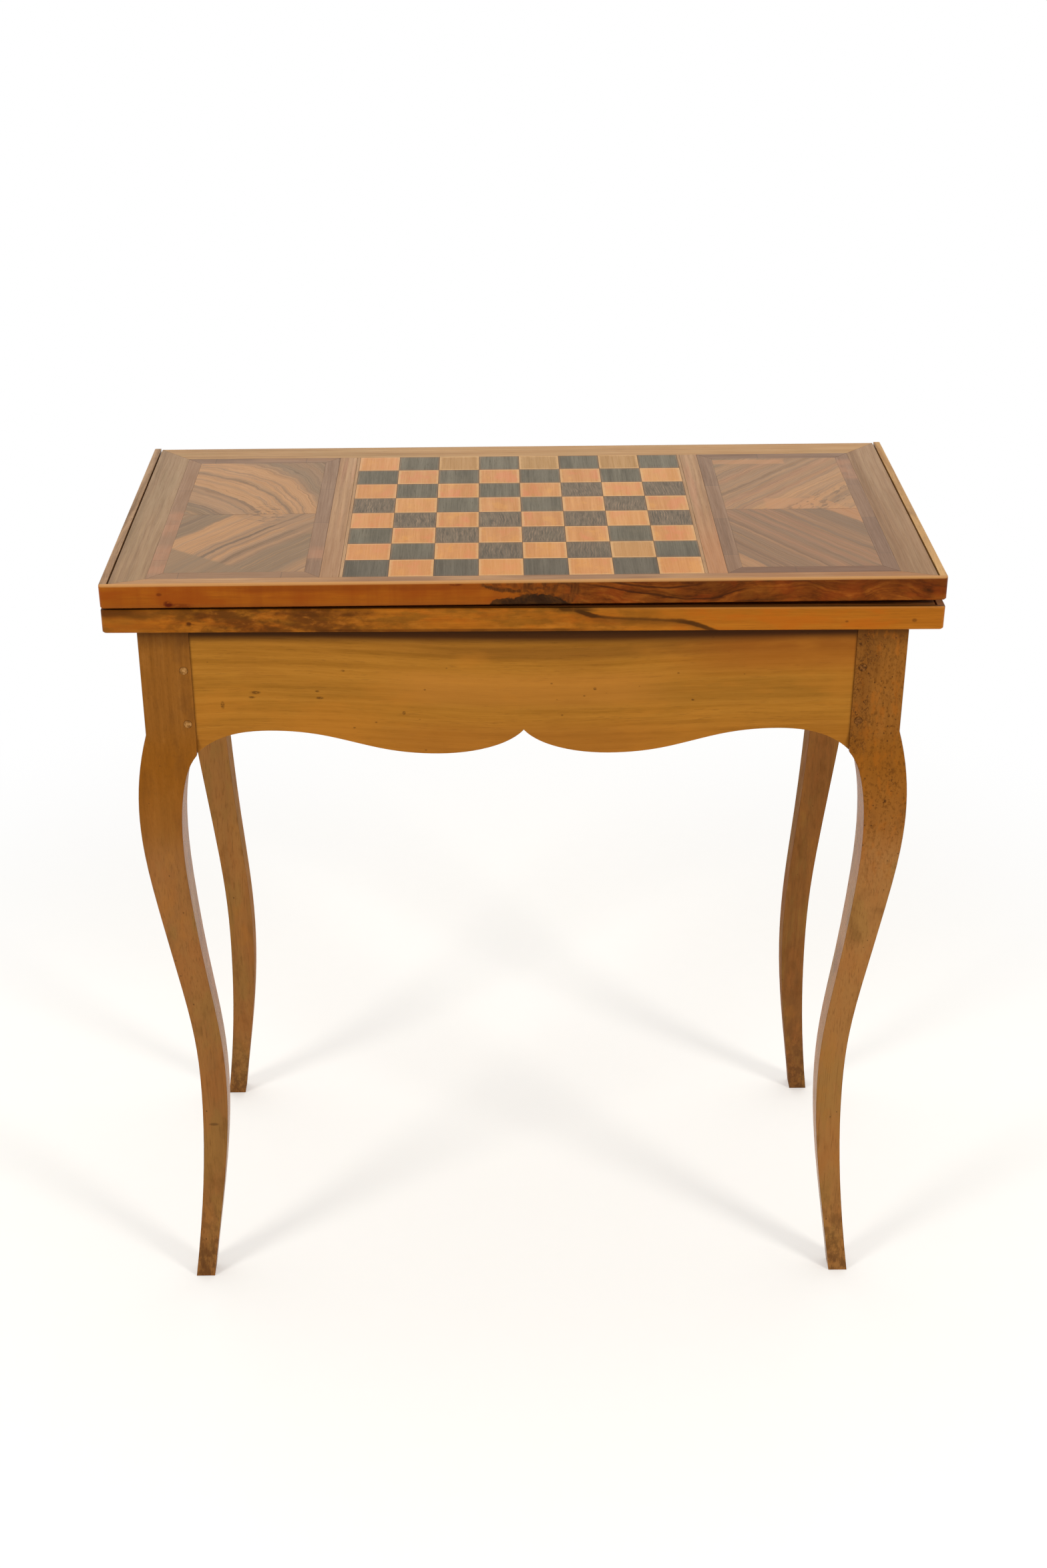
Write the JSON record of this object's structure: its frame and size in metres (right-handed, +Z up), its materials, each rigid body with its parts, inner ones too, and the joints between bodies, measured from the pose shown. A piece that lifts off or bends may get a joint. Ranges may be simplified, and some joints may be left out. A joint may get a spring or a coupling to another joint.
{
  "type": "folding chess and games table",
  "caption": "Games table on four cabriole legs: two stacked leaves, the upper with an inlaid chess board, unfold and turn on an off-centre pivot over a shallow well.",
  "frame": {"origin": "on the floor under the middle of the base", "axes": "+X to the right along the length, +Y from the front to the hinged back, +Z up"},
  "size_m": [0.7201, 0.3599, 0.7615],
  "materials": {
    "baize": "worn green wool cloth",
    "band_back": "old waxed polish, satin",
    "band_brown": "old waxed polish, satin",
    "band_front": "old waxed polish, satin",
    "brass": "aged brass, dull",
    "end_strip": "old waxed polish, satin",
    "flank": "old waxed polish, satin",
    "inner_wood": "old waxed polish, satin",
    "iron": "rough dark forged iron",
    "lipping_lower": "old waxed polish, satin",
    "lipping_upper": "old waxed polish, satin",
    "panel_left": "old waxed polish, satin",
    "panel_right": "old waxed polish, satin",
    "peg_wood": "old waxed polish, satin",
    "rosewood": "old waxed polish, satin",
    "squares_brown_dark": "old waxed polish, satin",
    "squares_dark": "old waxed polish, satin",
    "squares_light": "old waxed polish, satin",
    "squares_worn_light": "old waxed polish, satin",
    "stringing": "old waxed polish, satin",
    "walnut_apron": "old waxed polish, satin",
    "walnut_leg": "old waxed polish, satin",
    "walnut_lower": "old waxed polish, satin",
    "walnut_upper": "old waxed polish, satin"
  },
  "bodies": {
    "base": {"apron_front": "walnut_apron", "apron_left": "walnut_apron", "apron_rear": "walnut_apron", "apron_right": "walnut_apron", "leg_front_left": "walnut_leg", "leg_front_right": "walnut_leg", "leg_rear_left": "walnut_leg", "leg_rear_right": "walnut_leg", "pegs_front_left": "peg_wood", "pegs_front_right": "peg_wood", "pegs_rear_left": "peg_wood", "pegs_rear_right": "peg_wood", "pivot_bearer": "inner_wood", "pivot_washer": "iron", "well_board": "inner_wood", "well_strip_front": "inner_wood", "well_strip_left": "inner_wood", "well_strip_rear": "inner_wood", "well_strip_right": "inner_wood"},
    "lower_leaf": {"hinge_left_lower": "brass", "hinge_left_pin": "brass", "hinge_right_lower": "brass", "hinge_right_pin": "brass", "lower_baize": "baize", "lower_core": "walnut_lower", "lower_lipping": "lipping_lower", "lower_strip_left": "walnut_lower", "lower_strip_right": "walnut_lower", "pivot_bolt": "iron", "pivot_nut": "iron"},
    "upper_leaf": {"band_back": "band_back", "band_front": "band_front", "band_left": "band_brown", "band_right": "band_brown", "flank_left": "flank", "flank_right": "flank", "frame_left": "rosewood", "frame_right": "rosewood", "hinge_left_upper": "brass", "hinge_right_upper": "brass", "panel_back_left": "panel_left", "panel_back_right": "panel_right", "panel_front_left": "panel_left", "panel_front_right": "panel_right", "squares_brown_dark": "squares_brown_dark", "squares_dark": "squares_dark", "squares_light": "squares_light", "squares_worn_light": "squares_worn_light", "stringing_left": "stringing", "stringing_right": "stringing", "upper_baize": "baize", "upper_core": "walnut_upper", "upper_lipping": "lipping_upper", "upper_strip_left": "end_strip", "upper_strip_right": "end_strip"}
  },
  "joints": [
    {"name": "top_swivel", "type": "hinge", "parent": "base", "child": "lower_leaf", "pos_m": [0.08925, 0.08925, 0.713], "axis": [0, 0, 1], "range_deg": [0, 90]},
    {"name": "leaf_fold", "type": "hinge", "parent": "lower_leaf", "child": "upper_leaf", "pos_m": [0, 0.1785, 0.73623], "axis": [-1, 0, -0.0033], "range_deg": [0, 180]}
  ]
}
